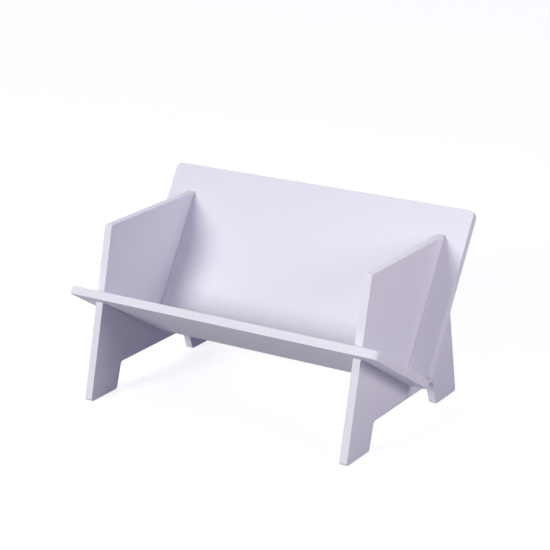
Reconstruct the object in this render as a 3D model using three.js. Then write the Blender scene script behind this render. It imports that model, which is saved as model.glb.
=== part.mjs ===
import * as THREE from 'three';

// A desktop book rack of four flat boards that slot together without fasteners.
// Lengths are in millimetres. +X runs along the rack, +Y to the rear and +Z up,
// and the origin is on the table, in the middle of the four feet.

// The sheet that all four boards are cut from
const boardThickness = 9;
const edgeEase = 0.4;
const slotClearance = 0.3;

// The shelf and the back, which stand square to each other and lean back together
const rackLength = 380;
const leanDegrees = 32;
const shelfDepth = 125; // from its front edge to the face of the back
const backHeight = 185; // from the face of the shelf to its top edge
const boardCornerRadius = 7;

// The line where the face of the shelf meets the face of the back
const seatSetback = 2.5; // behind the middle of the feet
const seatHeight = 57.5;

// The two end panels, each tapering from two feet to a level top
const endOverhang = 25.5; // shelf and back reach this far past each panel
const panelDepth = 238; // across the feet
const panelHeight = 188;
const panelFrontSplay = 47; // the front edge leans back by this much
const footWidth = 46;
const archHeight = 29;
const archSplay = 9.5; // each side of the arch leans in by this much
const panelCornerRadius = 3;

// Each joint is a half lap: both boards are slotted for a part of their crossing
const lapShare = 0.5;

// Steps in each rounded corner and across each eased edge
const cornerSteps = 6;
const easeSteps = 2;

const lean = THREE.MathUtils.degToRad(leanDegrees);
const quarterTurn = Math.PI / 2;
const panelCentre = rackLength / 2 - endOverhang - boardThickness / 2;
const slotWidth = boardThickness + 2 * slotClearance;
const seatLine = new THREE.Vector2(seatSetback, seatHeight);

// A point beside the seat line, from its distances along the shelf's face and along the back's
function fromSeat(alongShelf, alongBack) {
  const turned = new THREE.Vector2(alongShelf, alongBack).rotateAround(new THREE.Vector2(), -lean);
  return turned.add(seatLine);
}

function toSeat(point) {
  return point.clone().sub(seatLine).rotateAround(new THREE.Vector2(), lean);
}

// The point where the line through two points crosses the line through two others
function crossing([startA, endA], [startB, endB]) {
  const alongA = endA.clone().sub(startA);
  const alongB = endB.clone().sub(startB);
  const share = startB.clone().sub(startA).cross(alongB) / alongA.cross(alongB);
  return startA.clone().addScaledVector(alongA, share);
}

// One corner of an outline, as an arc that touches both of its sides
function cornerPoints(before, corner, after, radius) {
  if (radius === 0) {
    return [corner];
  }
  const toBefore = before.clone().sub(corner).normalize();
  const toAfter = after.clone().sub(corner).normalize();
  const halfAngle = Math.acos(toBefore.dot(toAfter)) / 2;
  const bisector = toBefore.clone().add(toAfter).normalize();
  const centre = corner.clone().addScaledVector(bisector, radius / Math.sin(halfAngle));
  const first = corner.clone().addScaledVector(toBefore, radius / Math.tan(halfAngle)).sub(centre);
  const last = corner.clone().addScaledVector(toAfter, radius / Math.tan(halfAngle)).sub(centre);
  const sweep = Math.atan2(first.cross(last), first.dot(last));
  const points = [];
  for (let step = 0; step <= cornerSteps; step++) {
    const turn = sweep * step / cornerSteps;
    points.push(first.clone().rotateAround(new THREE.Vector2(), turn).add(centre));
  }
  return points;
}

// An outline through corners, each given as its point and its radius
function roundedShape(corners) {
  const points = corners.flatMap(([corner, radius], index) => {
    const before = corners.at(index - 1)[0];
    const after = corners[(index + 1) % corners.length][0];
    return cornerPoints(before, corner, after, radius);
  });
  return new THREE.Shape(points);
}

function boardMaterial() {
  return new THREE.MeshStandardMaterial({ color: 0xe8e5ee, roughness: 0.5, metalness: 0 });
}

// A board cut to an outline, its edges eased all round, standing on the outline's plane
function makeBoard(name, corners) {
  const geometry = new THREE.ExtrudeGeometry(roundedShape(corners), {
    depth: boardThickness - 2 * edgeEase,
    bevelThickness: edgeEase,
    bevelSize: edgeEase,
    bevelOffset: -edgeEase,
    bevelSegments: easeSteps,
  });
  geometry.translate(0, 0, edgeEase);
  const board = new THREE.Mesh(geometry, boardMaterial());
  board.name = name;
  return board;
}

// The corners of an end panel's outline before its slots are cut
const frontFoot = new THREE.Vector2(-panelDepth / 2, 0);
const rearFoot = new THREE.Vector2(panelDepth / 2, 0);
const frontTop = frontFoot.clone().add(new THREE.Vector2(panelFrontSplay, panelHeight));
const rearTop = fromSeat(0, (panelHeight - seatHeight) / Math.cos(lean));
const frontEdge = [frontFoot, frontTop];
const topEdge = [frontTop, rearTop];
const rearEdge = [rearTop, rearFoot];

// Half laps, as places along the shelf and along the back where the slots of both boards end
const shelfRear = boardThickness; // flush with the rear of the back
const shelfMouth = toSeat(crossing(frontEdge, [fromSeat(0, 0), fromSeat(-shelfDepth, 0)])).x;
const shelfLap = THREE.MathUtils.lerp(shelfMouth, shelfRear, lapShare);
const backLap = lapShare * toSeat(rearTop).y;

// A board as long as the rack, with a slot for each end panel in one of its long edges
function slottedCorners(plainEdge, slottedEdge, slotEnd) {
  const halfLength = rackLength / 2;
  const corners = [
    [new THREE.Vector2(-halfLength, slottedEdge), boardCornerRadius],
    [new THREE.Vector2(-halfLength, plainEdge), boardCornerRadius],
    [new THREE.Vector2(halfLength, plainEdge), boardCornerRadius],
    [new THREE.Vector2(halfLength, slottedEdge), boardCornerRadius],
  ];
  for (const middle of [panelCentre, -panelCentre]) {
    const right = middle + slotWidth / 2;
    const left = middle - slotWidth / 2;
    corners.push([new THREE.Vector2(right, slottedEdge), 0]);
    corners.push([new THREE.Vector2(right, slotEnd), 0]);
    corners.push([new THREE.Vector2(left, slotEnd), 0]);
    corners.push([new THREE.Vector2(left, slottedEdge), 0]);
  }
  return corners;
}

function makeShelf() {
  const shelf = makeBoard('shelf_board', slottedCorners(-shelfDepth, shelfRear, shelfLap));
  shelf.position.z = -boardThickness;
  return shelf;
}

// The back stands on the face of the shelf, over the shelf's rear edge
function makeBack() {
  const back = makeBoard('back_board', slottedCorners(backHeight, slotClearance, backLap));
  back.rotation.x = quarterTurn;
  back.position.y = boardThickness;
  return back;
}

// The feet and the arch between them
function footCorners() {
  const inwards = new THREE.Vector2(footWidth, 0);
  const archRise = new THREE.Vector2(archSplay, archHeight);
  const frontHeel = frontFoot.clone().add(inwards);
  const rearHeel = rearFoot.clone().sub(inwards);
  const archFront = frontHeel.clone().add(archRise);
  const archRear = new THREE.Vector2(rearHeel.x - archSplay, archHeight);
  return [frontFoot, frontHeel, archFront, archRear, rearHeel, rearFoot];
}

// The back's slot, open at the top rear corner, from its rear side to its front side
function backSlotCorners() {
  const nearSide = -slotClearance;
  const farSide = boardThickness + slotClearance;
  const bottom = backLap - slotClearance;
  return [
    crossing(rearEdge, [fromSeat(farSide, 0), fromSeat(farSide, backHeight)]),
    fromSeat(farSide, bottom),
    fromSeat(nearSide, bottom),
    crossing(topEdge, [fromSeat(nearSide, 0), fromSeat(nearSide, backHeight)]),
  ];
}

// The shelf's slot, open at the front edge, from its upper side to its lower side
function shelfSlotCorners() {
  const upperSide = slotClearance;
  const lowerSide = -boardThickness - slotClearance;
  const bottom = shelfLap + slotClearance;
  return [
    crossing(frontEdge, [fromSeat(0, upperSide), fromSeat(-shelfDepth, upperSide)]),
    fromSeat(bottom, upperSide),
    fromSeat(bottom, lowerSide),
    crossing(frontEdge, [fromSeat(0, lowerSide), fromSeat(-shelfDepth, lowerSide)]),
  ];
}

function makeEndPanel(name, middle) {
  const sharp = (point) => [point, 0];
  const rounded = (point) => [point, panelCornerRadius];
  const panel = makeBoard(name, [
    ...footCorners().map(rounded),
    ...backSlotCorners().map(sharp),
    rounded(frontTop),
    ...shelfSlotCorners().map(sharp),
  ]);
  panel.rotation.set(quarterTurn, 0, quarterTurn, 'ZYX');
  panel.position.x = middle - boardThickness / 2;
  return panel;
}

// The seat carries the two boards that lean back together
const seat = new THREE.Group();
seat.position.set(0, seatSetback, seatHeight);
seat.rotation.x = -lean;
seat.add(makeShelf(), makeBack());

const rack = new THREE.Group();
rack.add(seat);
rack.add(makeEndPanel('left_end_panel', -panelCentre));
rack.add(makeEndPanel('right_end_panel', panelCentre));

export default rack;
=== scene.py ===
import math
from typing import NamedTuple

import bmesh
import bpy
from bpy.props import FloatProperty, FloatVectorProperty, IntProperty, PointerProperty
from mathutils import Matrix, Vector


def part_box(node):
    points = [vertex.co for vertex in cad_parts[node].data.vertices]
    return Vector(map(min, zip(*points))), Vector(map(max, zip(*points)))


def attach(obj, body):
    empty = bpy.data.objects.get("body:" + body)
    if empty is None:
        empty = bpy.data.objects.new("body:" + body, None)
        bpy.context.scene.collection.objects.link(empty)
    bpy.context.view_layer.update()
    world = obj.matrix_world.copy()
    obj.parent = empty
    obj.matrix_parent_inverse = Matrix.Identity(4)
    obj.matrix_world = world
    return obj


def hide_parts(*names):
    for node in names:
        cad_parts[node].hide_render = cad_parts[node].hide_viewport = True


# A desktop book rack: a shelf and a back that lean together, slotted into two end panels.
# All four boards are cut from one white foamed plastic sheet, and nothing else holds them.
# Lengths are in metres. +X runs along the rack, +Y to the rear and +Z up from the table.

bl_info = {
    "name": "Desktop Book Rack",
    "version": (1, 0, 0),
    "blender": (4, 5, 0),
    "location": "View3D > Sidebar > Book Rack",
    "description": "Builds a slot-together desktop book rack and a plain studio to show it in",
    "category": "Add Mesh",
}

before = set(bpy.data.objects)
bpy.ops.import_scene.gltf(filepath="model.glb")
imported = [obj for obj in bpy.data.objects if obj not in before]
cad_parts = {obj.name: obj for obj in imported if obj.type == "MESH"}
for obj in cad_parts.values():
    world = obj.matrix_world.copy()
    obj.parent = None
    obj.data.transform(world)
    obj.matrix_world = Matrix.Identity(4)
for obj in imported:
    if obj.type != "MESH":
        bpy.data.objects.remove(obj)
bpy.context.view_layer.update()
shelf_low, shelf_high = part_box("shelf_board")
panel_low, panel_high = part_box("right_end_panel")

ROOT_BODY = "root"
QUARTER_TURN = math.pi / 2
SHARP_ANGLE = math.radians(40)

# The material slots of every board
SKIN = 0
CUT_EDGE = 1

# Stands an outline of depths and heights across the rack, with the board's thickness along X
ACROSS_RACK = Matrix(((0, 0, 1, 0), (1, 0, 0, 0), (0, 1, 0, 0), (0, 0, 0, 1)))

# Patterns in the sheet's faces
PATCH_SIZE = 0.09
CLOUD_SIZE = 0.012
PATCH_SHARE = 0.7  # of the tone, with clouds as the rest
CLOUD_LOW = 0.3
CLOUD_HIGH = 0.7
ROUGHNESS_SWING = 0.04

# Patterns in the sheet's cut edges
EDGE_PATCH_SIZE = 0.03
SKIN_FADE = 0.0002  # half of the depth in which the dense skin turns into foam
CELL_RIM = 0.45  # from a cell's middle to its rim, as a share of its width
SKIN_TONE_STEP = 0.15  # from the foam's tone up to the skin's
SKIN_ROUGHNESS_STEP = 0.08  # from the skin's roughness up to the foam's

# Blender's noise mostly stays in this range, and one step of it holds two lumps
NOISE_LOW = 0.25
NOISE_HIGH = 0.75
NOISE_STEP = 2.0

PLASTIC_IOR = 1.45

# Studio
SENSOR_WIDTH = 36.0  # in millimetres, as Blender's cameras have it
FLOOR_REACH = 20.0  # from the floor's middle to its sides
FLOOR_CELLS = 8
FLOOR_DROP = 0.0001  # keeps the floor clear of the feet
FLOOR_PATCH_SIZE = 0.2
FLOOR_TONE_SHIFT = 0.01


def length(name, description, default):
    """A length that can be set in the panel."""
    return FloatProperty(
        name=name, description=description, default=default, min=0.0, precision=5, unit="LENGTH"
    )


def turn(name, description, degrees):
    """An angle that can be set in the panel, with its default in degrees."""
    return FloatProperty(
        name=name, description=description, default=math.radians(degrees), unit="ROTATION"
    )


def share(name, description, default):
    """A share from 0 to 1 that can be set in the panel."""
    return FloatProperty(
        name=name, description=description, default=default, min=0.0, max=1.0, subtype="FACTOR"
    )


def amount(name, description, default):
    """An amount of 0 or more that can be set in the panel."""
    return FloatProperty(name=name, description=description, default=default, min=0.0)


def colour(name, description, default):
    """A colour that can be set in the panel, in linear values."""
    return FloatVectorProperty(
        name=name, description=description, default=default, size=3, min=0.0, max=1.0, subtype="COLOR"
    )


class RackSizes(bpy.types.PropertyGroup):
    """The sizes that the four boards are cut to."""

    board_thickness: length(
        "Board thickness", "Thickness of the sheet that all four boards are cut from",
        panel_high.x - panel_low.x,
    )
    rack_length: length(
        "Rack length", "Length of the shelf and of the back", shelf_high.x - shelf_low.x
    )
    lean: turn("Lean", "How far the back leans to the rear, and the shelf with it", 32)
    shelf_depth: length("Shelf depth", "From the shelf's front edge to the face of the back", 0.125)
    back_height: length("Back height", "From the face of the shelf to the back's top edge", 0.185)
    board_corner_radius: length(
        "Board corner radius", "Radius of the corners of the shelf and the back", 0.007
    )
    seat_setback: length(
        "Seat setback", "How far behind the middle of the feet the shelf meets the back", 0.0025
    )
    seat_height: length(
        "Seat height", "Height of the line where the faces of shelf and back meet", 0.0575
    )
    panel_middle: length(
        "Panel distance", "From the middle of the rack to the middle of each end panel",
        (panel_low.x + panel_high.x) / 2,
    )
    panel_depth: length("Panel depth", "Depth of an end panel across its feet", 0.238)
    panel_height: length("Panel height", "Height of an end panel", panel_high.z)
    panel_front_splay: length(
        "Panel front splay", "How far an end panel's front edge leans back over its height", 0.047
    )
    foot_width: length("Foot width", "Width of each foot on the table", 0.046)
    arch_height: length("Arch height", "Height of the arch between the feet", 0.029)
    arch_splay: length("Arch splay", "How far each side of the arch leans in", 0.0095)
    panel_corner_radius: length(
        "Panel corner radius", "Radius of the corners of the end panels", 0.003
    )
    lap_share: share("Lap share", "Where the two slots of a joint meet, along their crossing", 0.5)
    slot_clearance: length(
        "Slot clearance", "Free space on each side of a board in its slot", 0.0003
    )
    edge_ease: length("Edge ease", "Radius along the outer arrises of a board", 0.0004)
    slot_ease: length("Slot ease", "Radius along the arrises of a slot", 0.00025)
    ease_run_out: length(
        "Ease run-out", "Distance in which an outer arris sharpens towards a slot", 0.0015
    )
    corner_steps: IntProperty(
        name="Corner steps", description="Steps in each rounded corner", default=14, min=1
    )
    ease_steps: IntProperty(
        name="Ease steps", description="Steps across each rounded arris", default=5, min=1
    )


class BoardFinish(bpy.types.PropertyGroup):
    """The colour and surface of the foamed plastic sheet."""

    board_colour: colour("Board colour", "Lilac white of the sheet", (0.8, 0.785, 0.868))
    cut_colour: colour("Cut colour", "Slightly whiter tone of the cut edges", (0.816, 0.802, 0.876))
    tone_shift: share("Tone shift", "How much the white varies across a board", 0.03)
    skin_roughness: share("Skin roughness", "Roughness of the moulded faces", 0.68)
    cut_roughness: share("Cut roughness", "Roughness of the cut and sanded edges", 0.78)
    skin_depth: length("Skin depth", "Depth of the dense skin on both faces of the sheet", 0.0011)
    stipple_size: length("Stipple size", "Width of the grains in the moulded faces", 0.0009)
    stipple_depth: length("Stipple depth", "Height of the grains in the moulded faces", 0.00006)
    ripple_size: length("Ripple size", "Width of the shallow ripples in the faces", 0.014)
    ripple_depth: length("Ripple depth", "Height of the shallow ripples in the faces", 0.00005)
    cell_size: length("Cell size", "Width of the foam's cells in a cut edge", 0.0009)
    cell_depth: length("Cell depth", "Depth of the foam's cells in a cut edge", 0.00007)
    cutter_width: length("Cutter mark width", "Width of the cutter's marks on an edge", 0.0007)
    cutter_depth: length("Cutter depth", "Depth of the cutter's marks on an edge", 0.00003)


class Studio(bpy.types.PropertyGroup):
    """The camera, the lamps and the floor."""

    camera_azimuth: turn("Camera azimuth", "Turn of the camera round the rack", 32.511)
    camera_elevation: turn("Camera elevation", "Height of the camera above the horizon", 18.553)
    camera_roll: turn("Camera roll", "Turn of the camera about its own view", -0.28)
    camera_distance: length("Camera distance", "From the camera to the middle of its view", 1.9669)
    lens_share: amount("Lens", "Focal length as a multiple of the sensor's width", 3.27014)
    view_shift: length(
        "View shift", "How far right of the origin the camera looks, as the picture shows it",
        0.004149,
    )
    view_height: length(
        "View height", "How far above the origin the camera looks, as the picture shows it", 0.131534
    )
    key_azimuth: turn("Key azimuth", "Direction of the main lamp, from the front to the right", -18)
    key_elevation: turn("Key elevation", "Height of the main lamp above the horizon", 21)
    key_width: turn("Key width", "Width of the main lamp, as the rack sees it", 20)
    key_distance: length("Key distance", "From the main lamp to the rack", 4.0)
    key_strength: amount("Key strength", "Light of the main lamp on the rack", 2.175)
    key_colour: colour("Key colour", "Colour of the main lamp", (0.995, 1.0, 0.915))
    side_azimuth: turn("Side azimuth", "Direction of the side lamp, from the front to the right", 80)
    side_elevation: turn("Side elevation", "Height of the side lamp above the horizon", 22)
    side_width: turn("Side width", "Width of the side lamp, as the rack sees it", 20)
    side_distance: length("Side distance", "From the side lamp to the rack", 1.0)
    side_strength: amount("Side strength", "Light of the side lamp on the rack", 0.97)
    side_colour: colour("Side colour", "Colour of the side lamp", (1.0, 0.95, 0.885))
    top_azimuth: turn("Top azimuth", "Direction of the top lamp, from the front to the right", 0)
    top_elevation: turn("Top elevation", "Height of the top lamp above the horizon", 90)
    top_width: turn("Top width", "Width of the top lamp, as the rack sees it", 90)
    top_strength: amount("Top strength", "Strength of the top lamp", 0.73)
    top_colour: colour("Top colour", "Colour of the top lamp", (1.0, 1.0, 0.575))
    rear_azimuth: turn("Rear azimuth", "Direction of the rear lamp, from the front to the right", 220)
    rear_elevation: turn("Rear elevation", "Height of the rear lamp above the horizon", 25)
    rear_width: turn("Rear width", "Width of the rear lamp, as the rack sees it", 50)
    rear_strength: amount("Rear strength", "Strength of the rear lamp", 1.44)
    rear_colour: colour("Rear colour", "Colour of the rear lamp", (0.95, 0.885, 1.0))
    aim_height: length("Aim height", "Height of the point that the near lamps face", 0.08)
    fill_strength: amount("Fill strength", "Strength of the light from all round", 0.18)
    fill_colour: colour("Fill colour", "Colour of the light from all round", (0.05, 0.02, 1.0))
    floor_colour: colour("Floor colour", "Tone in which the floor lights the rack", (0.352, 0.348, 0.378))
    floor_glow: amount("Floor glow", "Brightness added to the floor where the camera sees it", 0.8)


# Places beside the seat line, where the face of the shelf meets the face of the back


def from_seat(sizes, along_shelf, along_back):
    """The depth and height of a point, from its distances along the shelf and along the back."""
    turned = Matrix.Rotation(-sizes.lean, 2) @ Vector((along_shelf, along_back))
    return turned + Vector((sizes.seat_setback, sizes.seat_height))


def to_seat(sizes, point):
    """The distances along the shelf and along the back of a point's depth and height."""
    return Matrix.Rotation(sizes.lean, 2) @ (point - Vector((sizes.seat_setback, sizes.seat_height)))


def crossing(line, other):
    """The point where the line through two points crosses the line through two others."""
    along = line[1] - line[0]
    across = other[1] - other[0]
    reach = (other[0] - line[0]).cross(across) / along.cross(across)
    return line[0] + along * reach


# Outlines


class Corner(NamedTuple):
    """A corner of an outline: its place, its radius and the radius of the arrises there."""

    point: Vector
    radius: float
    ease: float


def rounded_corner(before, corner, after, steps):
    """The points of the arc that rounds a corner and touches both of its sides."""
    if corner.radius == 0.0:
        return [corner.point]
    to_before = (before - corner.point).normalized()
    to_after = (after - corner.point).normalized()
    half_angle = to_before.angle(to_after) / 2
    bisector = (to_before + to_after).normalized()
    centre = corner.point + bisector * (corner.radius / math.sin(half_angle))
    reach = corner.radius / math.tan(half_angle)
    first = corner.point + to_before * reach - centre
    last = corner.point + to_after * reach - centre
    sweep = math.atan2(first.cross(last), first.dot(last))
    turns = [Matrix.Rotation(sweep * step / steps, 2) for step in range(steps + 1)]
    return [centre + part @ first for part in turns]


def runs_clockwise(points):
    """Whether an outline runs clockwise, seen from above its plane."""
    return sum(points[index - 1].cross(point) for index, point in enumerate(points)) < 0.0


def board_outline(sizes, corners):
    """An outline as points with the radius of their arrises, which changes only near a slot."""
    points = []
    for index, corner in enumerate(corners):
        before = corners[index - 1].point
        after = corners[(index + 1) % len(corners)].point
        for point in rounded_corner(before, corner, after, sizes.corner_steps):
            points.append((point, corner.ease))
    if runs_clockwise([point for point, _ in points]):
        points.reverse()
    outline = []
    for index, (point, ease) in enumerate(points):
        next_point, next_ease = points[(index + 1) % len(points)]
        outline.append((point, ease))
        along = (next_point - point).normalized() * sizes.ease_run_out
        if ease < next_ease:
            outline.append((point + along, next_ease))
        elif ease > next_ease:
            outline.append((next_point - along, ease))
    return outline


def mitres(points):
    """For each point of an outline, the move that shifts both of its sides inwards by one."""
    moves = []
    for index, point in enumerate(points):
        side_in = (point - points[index - 1]).normalized()
        side_out = (points[(index + 1) % len(points)] - point).normalized()
        inward = Vector((-side_in.y - side_out.y, side_in.x + side_out.x))
        moves.append(inward / (1 + side_in.dot(side_out)))
    return moves


def arris_profile(steps):
    """The steps across both arrises: inset and height as shares of the radius, and the side."""
    angles = [QUARTER_TURN * step / steps for step in range(steps + 1)]
    lower = [(1 - math.sin(angle), 1 - math.cos(angle), False) for angle in angles]
    upper = [(inset, height, True) for inset, height, _ in reversed(lower)]
    return lower + upper


def board_mesh(sizes, name, outline):
    """A board standing on its outline's plane, with rounded arrises."""
    work = bmesh.new()
    moves = mitres([point for point, _ in outline])
    rings = []
    for inset, height, on_top in arris_profile(sizes.ease_steps):
        ring = []
        for (point, ease), move in zip(outline, moves):
            flat = point + move * (ease * inset)
            rise = sizes.board_thickness - ease * height if on_top else ease * height
            ring.append(work.verts.new((flat.x, flat.y, rise)))
        rings.append(ring)
    work.faces.new(reversed(rings[0])).material_index = SKIN
    work.faces.new(rings[-1]).material_index = SKIN
    for lower, upper in zip(rings, rings[1:]):
        for index in range(len(lower)):
            near, far = index - 1, index
            side = work.faces.new((lower[near], lower[far], upper[far], upper[near]))
            side.material_index = CUT_EDGE
    for face in work.faces:
        face.smooth = True
    mesh = bpy.data.meshes.new(name)
    work.to_mesh(mesh)
    work.free()
    mesh.set_sharp_from_angle(angle=SHARP_ANGLE)
    return mesh


def seat_matrix(sizes):
    """The turn and place of the shelf and the back, which lean together."""
    place = Matrix.Translation((0.0, sizes.seat_setback, sizes.seat_height))
    return place @ Matrix.Rotation(-sizes.lean, 4, "X")


# Half laps: the places along the shelf and along the back where the slots of both boards end


def panel_front_edge(sizes):
    """The line of an end panel's front edge, from its foot to its top."""
    foot = Vector((-sizes.panel_depth / 2, 0.0))
    return foot, foot + Vector((sizes.panel_front_splay, sizes.panel_height))


def panel_rear_top(sizes):
    """The place on the face of the back at the height of an end panel's top."""
    return from_seat(sizes, 0.0, (sizes.panel_height - sizes.seat_height) / math.cos(sizes.lean))


def shelf_lap(sizes):
    """The place along the shelf where its slots end."""
    face = from_seat(sizes, 0.0, 0.0), from_seat(sizes, -sizes.shelf_depth, 0.0)
    mouth = to_seat(sizes, crossing(panel_front_edge(sizes), face)).x
    return mouth + (sizes.board_thickness - mouth) * sizes.lap_share


def back_lap(sizes):
    """The place along the back where its slots end."""
    return to_seat(sizes, panel_rear_top(sizes)).y * sizes.lap_share


def slotted_corners(sizes, plain_edge, slotted_edge, slot_end):
    """A board as long as the rack, with a slot for each end panel in one of its long edges."""
    half_length = sizes.rack_length / 2
    half_slot = sizes.board_thickness / 2 + sizes.slot_clearance
    corners = [
        Corner(Vector(place), sizes.board_corner_radius, sizes.edge_ease)
        for place in (
            (-half_length, slotted_edge),
            (-half_length, plain_edge),
            (half_length, plain_edge),
            (half_length, slotted_edge),
        )
    ]
    for middle in (sizes.panel_middle, -sizes.panel_middle):
        for place in (
            (middle + half_slot, slotted_edge),
            (middle + half_slot, slot_end),
            (middle - half_slot, slot_end),
            (middle - half_slot, slotted_edge),
        ):
            corners.append(Corner(Vector(place), 0.0, sizes.slot_ease))
    return corners


def foot_points(sizes):
    """The feet of an end panel and the arch between them, from front to rear."""
    front = -sizes.panel_depth / 2
    heel = front + sizes.foot_width
    arch = heel + sizes.arch_splay
    places = [
        (front, 0.0),
        (heel, 0.0),
        (arch, sizes.arch_height),
        (-arch, sizes.arch_height),
        (-heel, 0.0),
        (-front, 0.0),
    ]
    return [Vector(place) for place in places]


def back_slot_points(sizes):
    """The back's slot in an end panel, open at the top rear corner, from rear to front."""
    near_side = -sizes.slot_clearance
    far_side = sizes.board_thickness + sizes.slot_clearance
    bottom = back_lap(sizes) - sizes.slot_clearance
    rear_top = panel_rear_top(sizes)
    rear_edge = rear_top, Vector((sizes.panel_depth / 2, 0.0))
    top_edge = panel_front_edge(sizes)[1], rear_top
    far_line = from_seat(sizes, far_side, 0.0), from_seat(sizes, far_side, sizes.back_height)
    near_line = from_seat(sizes, near_side, 0.0), from_seat(sizes, near_side, sizes.back_height)
    return [
        crossing(rear_edge, far_line),
        from_seat(sizes, far_side, bottom),
        from_seat(sizes, near_side, bottom),
        crossing(top_edge, near_line),
    ]


def shelf_slot_points(sizes):
    """The shelf's slot in an end panel, open at the front edge, from upper to lower side."""
    upper_side = sizes.slot_clearance
    lower_side = -sizes.board_thickness - sizes.slot_clearance
    bottom = shelf_lap(sizes) + sizes.slot_clearance
    front = -sizes.shelf_depth
    upper_line = from_seat(sizes, 0.0, upper_side), from_seat(sizes, front, upper_side)
    lower_line = from_seat(sizes, 0.0, lower_side), from_seat(sizes, front, lower_side)
    front_edge = panel_front_edge(sizes)
    return [
        crossing(front_edge, upper_line),
        from_seat(sizes, bottom, upper_side),
        from_seat(sizes, bottom, lower_side),
        crossing(front_edge, lower_line),
    ]


def end_panel_corners(sizes):
    """An end panel, from its front foot round to its front edge."""
    radius = sizes.panel_corner_radius
    corners = [Corner(point, radius, sizes.edge_ease) for point in foot_points(sizes)]
    corners += [Corner(point, 0.0, sizes.slot_ease) for point in back_slot_points(sizes)]
    corners.append(Corner(panel_front_edge(sizes)[1], radius, sizes.edge_ease))
    corners += [Corner(point, 0.0, sizes.slot_ease) for point in shelf_slot_points(sizes)]
    return corners


# Finishes


class Recipe:
    """The nodes of a material or world, with short calls to add and join them."""

    def __init__(self, tree):
        self.tree = tree
        tree.nodes.clear()

    def add(self, kind, sockets=None, **settings):
        """A new node with its fields set, and its sockets set to values or joined."""
        node = self.tree.nodes.new(kind)
        for field, value in settings.items():
            setattr(node, field, value)
        for socket, value in (sockets or {}).items():
            self.put(node.inputs[socket], value)
        return node

    def put(self, socket, value):
        """Joins a socket to an output, or gives it a value."""
        if isinstance(value, bpy.types.NodeSocket):
            self.tree.links.new(value, socket)
        else:
            socket.default_value = value

    def math(self, operation, *values):
        """The output of a Math node on values or outputs."""
        node = self.add("ShaderNodeMath", operation=operation)
        for socket, value in zip(node.inputs, values):
            self.put(socket, value)
        return node.outputs[0]

    def spread(self, value, low, high, to_low, to_high):
        """An output's range from low to high, moved to another range and held there."""
        node = self.add("ShaderNodeMapRange", {
            "Value": value, "From Min": low, "From Max": high, "To Min": to_low, "To Max": to_high,
        })
        return node.outputs["Result"]

    def noise(self, places, size, detail=2.0, roughness=0.5):
        """Noise from 0 to 1 whose lumps are about one size wide."""
        node = self.add("ShaderNodeTexNoise", {
            "Vector": places,
            "Scale": 1 / (NOISE_STEP * size),
            "Detail": detail,
            "Roughness": roughness,
        })
        return node.outputs["Fac"]

    def bump(self, height, depth, normal=None):
        """A normal for a height from 0 to 1 that stands for one depth."""
        sockets = {"Height": height, "Distance": depth, "Strength": 1.0}
        if normal is not None:
            sockets["Normal"] = normal
        return self.add("ShaderNodeBump", sockets).outputs["Normal"]


def board_places(recipe):
    """Places in a board's own frame, shifted so that no two boards share a pattern."""
    places = recipe.add("ShaderNodeTexCoord").outputs["Object"]
    own = recipe.add("ShaderNodeObjectInfo").outputs["Random"]
    shift = recipe.add("ShaderNodeCombineXYZ", {"X": own, "Y": own, "Z": 0.0})
    moved = recipe.add("ShaderNodeVectorMath", operation="ADD")
    recipe.put(moved.inputs[0], places)
    recipe.put(moved.inputs[1], shift.outputs[0])
    return moved.outputs[0]


def toned(recipe, base, shift, tone):
    """A colour that a tone from 0 to 1 makes darker or lighter by half the shift."""
    factor = recipe.spread(tone, NOISE_LOW, NOISE_HIGH, 1 - shift / 2, 1 + shift / 2)
    scale = recipe.add("ShaderNodeVectorMath", operation="SCALE")
    recipe.put(scale.inputs[0], base)
    recipe.put(scale.inputs["Scale"], factor)
    return scale.outputs[0]


def empty_material(name):
    """A material without nodes, and the recipe that takes them."""
    material = bpy.data.materials.new(name)
    material.use_nodes = True
    return material, Recipe(material.node_tree)


def skin_material(finish):
    """The sheet's faces: a satin skin with a fine stipple and faint broad ripples."""
    material, recipe = empty_material("white_sheet_skin")
    places = board_places(recipe)
    patches = recipe.noise(places, PATCH_SIZE, detail=3.0)
    clouds = recipe.noise(places, CLOUD_SIZE, detail=3.0)
    stipple = recipe.noise(places, finish.stipple_size, roughness=0.6)
    ripple = recipe.noise(places, finish.ripple_size)
    patch_tone = recipe.math("MULTIPLY", patches, PATCH_SHARE)
    cloud_tone = recipe.math("MULTIPLY", clouds, 1 - PATCH_SHARE)
    tone = recipe.math("ADD", patch_tone, cloud_tone)
    smoothest = finish.skin_roughness - ROUGHNESS_SWING
    roughest = finish.skin_roughness + ROUGHNESS_SWING
    rough = recipe.spread(clouds, CLOUD_LOW, CLOUD_HIGH, smoothest, roughest)
    normal = recipe.bump(ripple, finish.ripple_depth)
    normal = recipe.bump(stipple, finish.stipple_depth, normal)
    shader = recipe.add("ShaderNodeBsdfPrincipled", {
        "Base Color": toned(recipe, finish.board_colour, finish.tone_shift, tone),
        "Roughness": rough,
        "Normal": normal,
        "IOR": PLASTIC_IOR,
    })
    recipe.add("ShaderNodeOutputMaterial", {"Surface": shader.outputs[0]})
    return material


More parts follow.
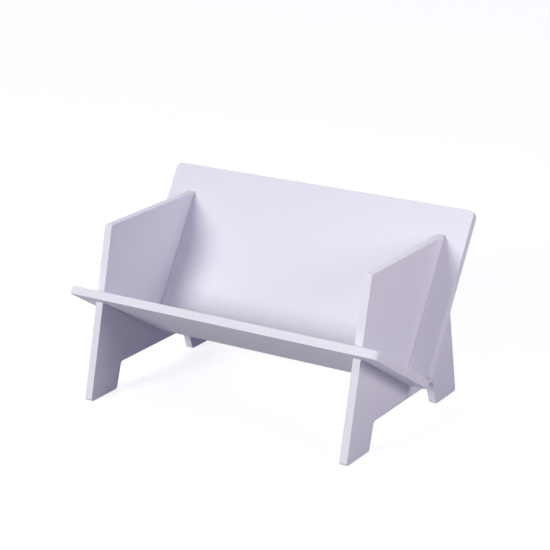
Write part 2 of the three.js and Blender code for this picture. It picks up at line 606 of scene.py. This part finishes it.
def cut_edge_material(finish, thickness):
    """The sheet's cut edges: dense skin on both sides of a fine foam, with the cutter's marks."""
    material, recipe = empty_material("white_sheet_cut_edge")
    places = board_places(recipe)
    depth = recipe.add("ShaderNodeSeparateXYZ")
    recipe.put(depth.inputs[0], recipe.add("ShaderNodeTexCoord").outputs["Object"])
    off_middle = recipe.math("ABSOLUTE", recipe.math("SUBTRACT", depth.outputs["Z"], thickness / 2))
    skin_start = thickness / 2 - finish.skin_depth
    core = recipe.spread(off_middle, skin_start - SKIN_FADE, skin_start + SKIN_FADE, 1.0, 0.0)
    cells = recipe.add("ShaderNodeTexVoronoi", {"Vector": places, "Scale": 1 / finish.cell_size})
    pits = recipe.spread(cells.outputs["Distance"], 0.0, CELL_RIM, 0.0, 1.0)
    pits_in_core = recipe.math("MULTIPLY", recipe.math("SUBTRACT", pits, 1.0), core)
    cell_height = recipe.math("ADD", pits_in_core, 1.0)
    flat = recipe.add("ShaderNodeVectorMath", operation="MULTIPLY")
    recipe.put(flat.inputs[0], places)
    recipe.put(flat.inputs[1], (1.0, 1.0, 0.0))
    marks = recipe.noise(flat.outputs[0], finish.cutter_width, detail=1.0)
    patches = recipe.noise(places, EDGE_PATCH_SIZE, detail=3.0)
    skin_tone = recipe.math("MULTIPLY", recipe.math("SUBTRACT", 0.5, core), SKIN_TONE_STEP)
    tone = recipe.math("ADD", patches, skin_tone)
    smoothest = finish.cut_roughness - SKIN_ROUGHNESS_STEP
    rough = recipe.spread(core, 0.0, 1.0, smoothest, finish.cut_roughness)
    normal = recipe.bump(marks, finish.cutter_depth)
    normal = recipe.bump(cell_height, finish.cell_depth, normal)
    shader = recipe.add("ShaderNodeBsdfPrincipled", {
        "Base Color": toned(recipe, finish.cut_colour, finish.tone_shift, tone),
        "Roughness": rough,
        "Normal": normal,
        "IOR": PLASTIC_IOR,
    })
    recipe.add("ShaderNodeOutputMaterial", {"Surface": shader.outputs[0]})
    return material


def finish_materials(scene):
    """The two finishes of the sheet, made once."""
    skin = bpy.data.materials.get("white_sheet_skin")
    cut = bpy.data.materials.get("white_sheet_cut_edge")
    if skin is None:
        skin = skin_material(scene.rack_finish)
    if cut is None:
        cut = cut_edge_material(scene.rack_finish, scene.rack_sizes.board_thickness)
    return skin, cut


def place_board(scene, name, node, corners, placement):
    """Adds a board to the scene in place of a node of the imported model."""
    sizes = scene.rack_sizes
    mesh = board_mesh(sizes, name, board_outline(sizes, corners))
    for material in finish_materials(scene):
        mesh.materials.append(material)
    board = bpy.data.objects.new(name, mesh)
    scene.collection.objects.link(board)
    board.matrix_world = placement
    evened = board.modifiers.new("even_shading", "WEIGHTED_NORMAL")
    evened.keep_sharp = True
    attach(board, ROOT_BODY)
    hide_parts(node)


class AddShelf(bpy.types.Operator):
    """Add the shelf, which slopes down to the back and has its slots in the rear edge"""

    bl_idname = "book_rack.add_shelf"
    bl_label = "Add Shelf"
    bl_options = {"REGISTER", "UNDO"}

    def execute(self, context):
        sizes = context.scene.rack_sizes
        corners = slotted_corners(sizes, -sizes.shelf_depth, sizes.board_thickness, shelf_lap(sizes))
        placement = seat_matrix(sizes) @ Matrix.Translation((0.0, 0.0, -sizes.board_thickness))
        place_board(context.scene, "shelf", "shelf_board", corners, placement)
        return {"FINISHED"}


class AddBack(bpy.types.Operator):
    """Add the back, which stands on the shelf and has its slots in the lower edge"""

    bl_idname = "book_rack.add_back"
    bl_label = "Add Back"
    bl_options = {"REGISTER", "UNDO"}

    def execute(self, context):
        sizes = context.scene.rack_sizes
        corners = slotted_corners(sizes, sizes.back_height, sizes.slot_clearance, back_lap(sizes))
        upright = Matrix.Rotation(QUARTER_TURN, 4, "X")
        behind_seat = Matrix.Translation((0.0, sizes.board_thickness, 0.0))
        place_board(
            context.scene, "back", "back_board", corners, seat_matrix(sizes) @ behind_seat @ upright
        )
        return {"FINISHED"}


class AddEndPanels(bpy.types.Operator):
    """Add both end panels, each with two feet and a slot for the shelf and for the back"""

    bl_idname = "book_rack.add_end_panels"
    bl_label = "Add End Panels"
    bl_options = {"REGISTER", "UNDO"}

    def execute(self, context):
        sizes = context.scene.rack_sizes
        corners = end_panel_corners(sizes)
        for side, middle in (("left", -sizes.panel_middle), ("right", sizes.panel_middle)):
            left_face = Matrix.Translation((middle - sizes.board_thickness / 2, 0.0, 0.0))
            place_board(
                context.scene, side + "_end", side + "_end_panel", corners, left_face @ ACROSS_RACK
            )
        return {"FINISHED"}


# Studio


def view_matrix(studio):
    """The camera's turn: it looks along its own -Z, with +Y up in the picture."""
    azimuth, elevation = studio.camera_azimuth, studio.camera_elevation
    back = Vector((
        math.sin(azimuth) * math.cos(elevation),
        -math.cos(azimuth) * math.cos(elevation),
        math.sin(elevation),
    ))
    right = Vector((math.cos(azimuth), math.sin(azimuth), 0.0))
    up = back.cross(right)
    level = Matrix((right, up, back)).transposed()
    return (level @ Matrix.Rotation(studio.camera_roll, 3, "Z")).to_4x4()


def add_camera(scene):
    """The camera, which looks at a point beside and above the origin, as the picture shows it."""
    studio = scene.rack_studio
    data = bpy.data.cameras.new("camera")
    data.sensor_width = SENSOR_WIDTH
    data.lens = data.sensor_width * studio.lens_share
    camera = bpy.data.objects.new("camera", data)
    scene.collection.objects.link(camera)
    turned = view_matrix(studio)
    place = Matrix.Translation((studio.view_shift, studio.view_height, studio.camera_distance))
    camera.matrix_world = turned @ place
    scene.camera = camera


def lamp_turn(azimuth, elevation):
    """The turn of a lamp that shines on the rack from one direction."""
    return Matrix.Rotation(azimuth, 4, "Z") @ Matrix.Rotation(QUARTER_TURN - elevation, 4, "X")


def add_lamp(scene, name, turned, spread, power, tint):
    """A soft distant lamp, which lights the whole rack evenly."""
    data = bpy.data.lights.new(name, "SUN")
    data.energy = power
    data.angle = spread
    data.color = tint
    lamp = bpy.data.objects.new(name, data)
    scene.collection.objects.link(lamp)
    lamp.matrix_world = turned


def add_near_lamp(scene, name, turned, spread, distance, power, tint):
    """A round soft lamp near the rack, whose light fades across it."""
    data = bpy.data.lights.new(name, "AREA")
    data.shape = "DISK"
    data.size = 2 * distance * math.tan(spread / 2)
    data.energy = power * math.pi * distance ** 2
    data.color = tint
    lamp = bpy.data.objects.new(name, data)
    scene.collection.objects.link(lamp)
    aim = Matrix.Translation((0.0, 0.0, scene.rack_studio.aim_height))
    lamp.matrix_world = aim @ turned @ Matrix.Translation((0.0, 0.0, distance))
    lamp.visible_camera = False


def seen_directly(recipe):
    """1 for rays from the camera, straight, in a gloss or through glass, and 0 for the rest."""
    path = recipe.add("ShaderNodeLightPath").outputs
    seen = recipe.math("MAXIMUM", path["Is Camera Ray"], path["Is Glossy Ray"])
    return recipe.math("MAXIMUM", seen, path["Is Transmission Ray"])


def floor_material(studio):
    """A floor that lights the rack softly, and is seen as white with the rack's shadow on it."""
    material, recipe = empty_material("studio_floor")
    places = recipe.add("ShaderNodeTexCoord").outputs["Object"]
    tone = recipe.noise(places, FLOOR_PATCH_SIZE)
    lit = recipe.add("ShaderNodeBsdfDiffuse", {
        "Color": toned(recipe, studio.floor_colour, FLOOR_TONE_SHIFT, tone),
    })
    glow = recipe.add("ShaderNodeEmission", {
        "Strength": recipe.math("MULTIPLY", seen_directly(recipe), studio.floor_glow),
    })
    both = recipe.add("ShaderNodeAddShader")
    recipe.put(both.inputs[0], lit.outputs[0])
    recipe.put(both.inputs[1], glow.outputs[0])
    recipe.add("ShaderNodeOutputMaterial", {"Surface": both.outputs[0]})
    return material


def add_floor(scene):
    """A wide flat floor at the height of the feet."""
    work = bmesh.new()
    bmesh.ops.create_grid(
        work, x_segments=FLOOR_CELLS, y_segments=FLOOR_CELLS, size=FLOOR_REACH
    )
    mesh = bpy.data.meshes.new("floor")
    work.to_mesh(mesh)
    work.free()
    mesh.materials.append(floor_material(scene.rack_studio))
    floor = bpy.data.objects.new("floor", mesh)
    scene.collection.objects.link(floor)
    floor.location.z = -FLOOR_DROP


def set_world(scene):
    """A faint light from all round, and plain white for the camera."""
    studio = scene.rack_studio
    world = bpy.data.worlds.new("studio")
    world.use_nodes = True
    recipe = Recipe(world.node_tree)
    fill = recipe.add("ShaderNodeBackground", {
        "Color": (*studio.fill_colour, 1.0), "Strength": studio.fill_strength,
    })
    white = recipe.add("ShaderNodeBackground", {"Color": (1.0, 1.0, 1.0, 1.0), "Strength": 1.0})
    chosen = recipe.add("ShaderNodeMixShader", {0: seen_directly(recipe)})
    recipe.put(chosen.inputs[1], fill.outputs[0])
    recipe.put(chosen.inputs[2], white.outputs[0])
    recipe.add("ShaderNodeOutputWorld", {"Surface": chosen.outputs[0]})
    scene.world = world


class AddStudio(bpy.types.Operator):
    """Add the camera, the lamps, a pale floor and a white background"""

    bl_idname = "book_rack.add_studio"
    bl_label = "Add Studio"
    bl_options = {"REGISTER", "UNDO"}

    def execute(self, context):
        scene = context.scene
        studio = scene.rack_studio
        add_camera(scene)
        add_floor(scene)
        set_world(scene)
        key_turn = lamp_turn(studio.key_azimuth, studio.key_elevation)
        side_turn = lamp_turn(studio.side_azimuth, studio.side_elevation)
        top_turn = lamp_turn(studio.top_azimuth, studio.top_elevation)
        rear_turn = lamp_turn(studio.rear_azimuth, studio.rear_elevation)
        add_near_lamp(
            scene, "key_lamp", key_turn, studio.key_width, studio.key_distance,
            studio.key_strength, studio.key_colour,
        )
        add_near_lamp(
            scene, "side_lamp", side_turn, studio.side_width, studio.side_distance,
            studio.side_strength, studio.side_colour,
        )
        add_lamp(
            scene, "top_lamp", top_turn, studio.top_width, studio.top_strength, studio.top_colour
        )
        add_lamp(
            scene, "rear_lamp", rear_turn, studio.rear_width, studio.rear_strength,
            studio.rear_colour,
        )
        scene.view_settings.view_transform = "Standard"
        return {"FINISHED"}


class BookRackPanel(bpy.types.Panel):
    """The rack's sizes, finish and studio, and the buttons that build them"""

    bl_label = "Book Rack"
    bl_idname = "VIEW3D_PT_book_rack"
    bl_space_type = "VIEW_3D"
    bl_region_type = "UI"
    bl_category = "Book Rack"

    def draw(self, context):
        layout = self.layout
        for operator in OPERATORS:
            layout.operator(operator.bl_idname)
        for group, title in PROPERTY_GROUPS.items():
            values = getattr(context.scene, group)
            layout.label(text=title)
            for name in values.bl_rna.properties.keys():
                if name not in ("rna_type", "name"):
                    layout.prop(values, name)


OPERATORS = (AddStudio, AddShelf, AddBack, AddEndPanels)
PROPERTY_GROUPS = {"rack_sizes": "Sizes", "rack_finish": "Finish", "rack_studio": "Studio"}
CLASSES = (RackSizes, BoardFinish, Studio, *OPERATORS, BookRackPanel)


def register():
    """Adds the rack's operators, panel and settings to Blender."""
    for item in CLASSES:
        bpy.utils.register_class(item)
    bpy.types.Scene.rack_sizes = PointerProperty(type=RackSizes)
    bpy.types.Scene.rack_finish = PointerProperty(type=BoardFinish)
    bpy.types.Scene.rack_studio = PointerProperty(type=Studio)


def unregister():
    """Takes the rack's operators, panel and settings out of Blender."""
    for group in PROPERTY_GROUPS:
        delattr(bpy.types.Scene, group)
    for item in reversed(CLASSES):
        bpy.utils.unregister_class(item)


def main():
    """Builds the studio and the rack."""
    register()
    bpy.ops.book_rack.add_studio()
    bpy.ops.book_rack.add_shelf()
    bpy.ops.book_rack.add_back()
    bpy.ops.book_rack.add_end_panels()


if __name__ == "__main__":
    main()
